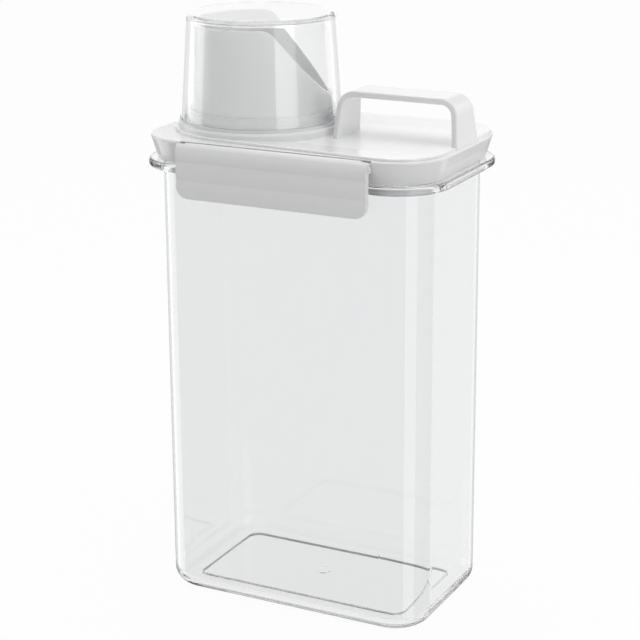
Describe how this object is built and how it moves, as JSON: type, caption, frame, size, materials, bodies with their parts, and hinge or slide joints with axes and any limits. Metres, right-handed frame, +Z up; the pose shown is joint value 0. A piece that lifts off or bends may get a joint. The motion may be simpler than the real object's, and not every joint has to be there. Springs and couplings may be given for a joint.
{
  "type": "detergent dispenser bottle",
  "caption": "Tall clear storage tank with a white latched lid, a carrying strap and a slanted pour spout covered by an upturned clear measuring cup.",
  "frame": {"origin": "centre of the base, on the surface the bottle stands on", "axes": "+Z up; +X along the long side towards the handle; -Y is the front"},
  "size_m": [0.157, 0.109, 0.2918],
  "materials": {
    "clear_plastic": "clear glossy moulded plastic",
    "white_plastic": "glossy white moulded polypropylene",
    "silicone": "translucent soft silicone"
  },
  "bodies": {
    "tank": {"tank": "clear_plastic"},
    "lid": {"lid": "white_plastic", "lid_gasket": "silicone", "pour_spout": "white_plastic", "cup_seal_ring": "silicone", "handle": "white_plastic"},
    "cup": {"measuring_cup": "clear_plastic"},
    "front_latch": {"front_latch": "white_plastic"},
    "rear_latch": {"rear_latch": "white_plastic"}
  },
  "joints": [
    {"name": "lid_lift", "type": "slide", "parent": "tank", "child": "lid", "axis": [0, 0, 1], "range_m": [0, 0.06]},
    {"name": "cup_lift", "type": "slide", "parent": "lid", "child": "cup", "axis": [0, 0, 1], "range_m": [0, 0.07]},
    {"name": "front_latch_hinge", "type": "hinge", "parent": "lid", "child": "front_latch", "pos_m": [0, -0.0508, 0.2326], "axis": [-1, 0, 0], "range_deg": [0, 110]},
    {"name": "rear_latch_hinge", "type": "hinge", "parent": "lid", "child": "rear_latch", "pos_m": [0, 0.0508, 0.2326], "axis": [1, 0, 0], "range_deg": [0, 110]}
  ]
}
